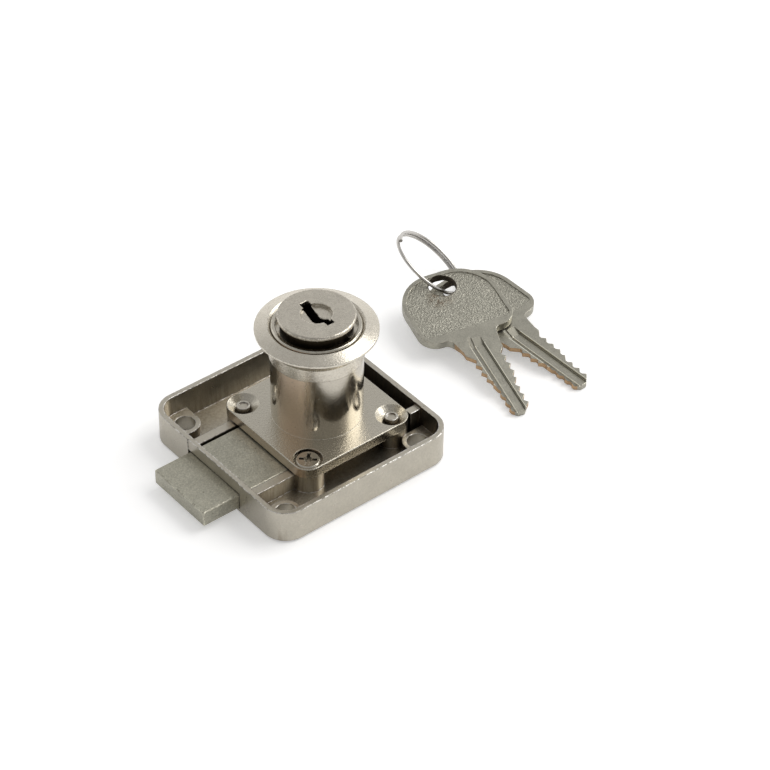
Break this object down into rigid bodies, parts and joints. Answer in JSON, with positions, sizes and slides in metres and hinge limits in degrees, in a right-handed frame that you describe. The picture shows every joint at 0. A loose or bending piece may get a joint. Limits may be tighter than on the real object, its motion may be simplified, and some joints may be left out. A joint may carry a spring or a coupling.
{
  "type": "cylinder rim lock",
  "caption": "Square rim lock with a turning key cylinder that throws a square bolt, with its rosette and keys on a split ring",
  "frame": {"origin": "on the cylinder's axis at the outer face of the case, the face away from the door or drawer front", "axes": "+Z runs along the cylinder from the case towards the key side, -X is the way the bolt is thrown, +Y lies across the bolt"},
  "size_m": [0.0925, 0.0525, 0.0309],
  "materials": {
    "cast_nickel": "satin nickel plate",
    "bright_nickel": "polished nickel plate",
    "key_steel": "nickel-plated brass",
    "brass": "plain",
    "steel": "plain"
  },
  "bodies": {
    "lock_case": {"case": "cast_nickel", "cylinder_housing": "bright_nickel", "fixing_screws": "bright_nickel"},
    "bolt": {"bolt": "cast_nickel"},
    "core": {"plug": "bright_nickel", "driver": "steel", "driver_screw": "steel", "wafer_spring_1": "steel", "wafer_spring_2": "steel", "wafer_spring_3": "steel", "wafer_spring_4": "steel", "wafer_spring_5": "steel", "wafer_spring_6": "steel", "wafer_spring_7": "steel"},
    "rosette": {"rosette": "bright_nickel"},
    "wafer_1": {"wafer_1": "brass"},
    "wafer_2": {"wafer_2": "brass"},
    "wafer_3": {"wafer_3": "brass"},
    "wafer_4": {"wafer_4": "brass"},
    "wafer_5": {"wafer_5": "brass"},
    "wafer_6": {"wafer_6": "brass"},
    "wafer_7": {"wafer_7": "brass"},
    "key_ring": {"split_ring": "steel"},
    "front_key": {"front_key": "key_steel"},
    "back_key": {"back_key": "key_steel"}
  },
  "joints": [
    {"name": "plug_turn", "type": "hinge", "parent": "lock_case", "child": "core", "pos_m": [0, 0, 0.015], "axis": [0, 0, 1], "range_deg": [0, 180]},
    {"name": "bolt_slide", "type": "slide", "parent": "lock_case", "child": "bolt", "axis": [1, 0, 0], "range_m": [0, 0.00825]},
    {"name": "rosette_pull", "type": "slide", "parent": "lock_case", "child": "rosette", "axis": [0, 0, 1], "range_m": [0, 0.05]},
    {"name": "wafer_1_slide", "type": "slide", "parent": "core", "child": "wafer_1", "axis": [0, 1, 0], "range_m": [-0.0006, 0.0006], "stiffness_N_per_m": 100, "deforming": ["wafer_spring_1"]},
    {"name": "wafer_2_slide", "type": "slide", "parent": "core", "child": "wafer_2", "axis": [0, 1, 0], "range_m": [-0.0006, 0.0006], "stiffness_N_per_m": 100, "deforming": ["wafer_spring_2"]},
    {"name": "wafer_3_slide", "type": "slide", "parent": "core", "child": "wafer_3", "axis": [0, 1, 0], "range_m": [-0.0006, 0.0006], "stiffness_N_per_m": 100, "deforming": ["wafer_spring_3"]},
    {"name": "wafer_4_slide", "type": "slide", "parent": "core", "child": "wafer_4", "axis": [0, 1, 0], "range_m": [-0.0006, 0.0006], "stiffness_N_per_m": 100, "deforming": ["wafer_spring_4"]},
    {"name": "wafer_5_slide", "type": "slide", "parent": "core", "child": "wafer_5", "axis": [0, 1, 0], "range_m": [-0.0006, 0.0006], "stiffness_N_per_m": 100, "deforming": ["wafer_spring_5"]},
    {"name": "wafer_6_slide", "type": "slide", "parent": "core", "child": "wafer_6", "axis": [0, 1, 0], "range_m": [-0.0006, 0.0006], "stiffness_N_per_m": 100, "deforming": ["wafer_spring_6"]},
    {"name": "wafer_7_slide", "type": "slide", "parent": "core", "child": "wafer_7", "axis": [0, 1, 0], "range_m": [-0.0006, 0.0006], "stiffness_N_per_m": 100, "deforming": ["wafer_spring_7"]},
    {"name": "keys_lift", "type": "slide", "parent": "lock_case", "child": "key_ring", "axis": [0, 0, 1], "range_m": [0, 0.03]},
    {"name": "front_key_swing", "type": "hinge", "parent": "key_ring", "child": "front_key", "pos_m": [0.04423, 0.01504, 0.006], "axis": [-0.0675, -0.1246, 0.9899], "range_deg": [-25, 0]},
    {"name": "back_key_swing", "type": "hinge", "parent": "key_ring", "child": "back_key", "pos_m": [0.04805, 0.01491, 0.00302], "axis": [-0.0311, -0.058, 0.9978], "range_deg": [0, 25]}
  ],
  "couplings": [
    {"joint": "plug_turn", "follows": "bolt_slide", "rad_per_m": 380.8}
  ]
}
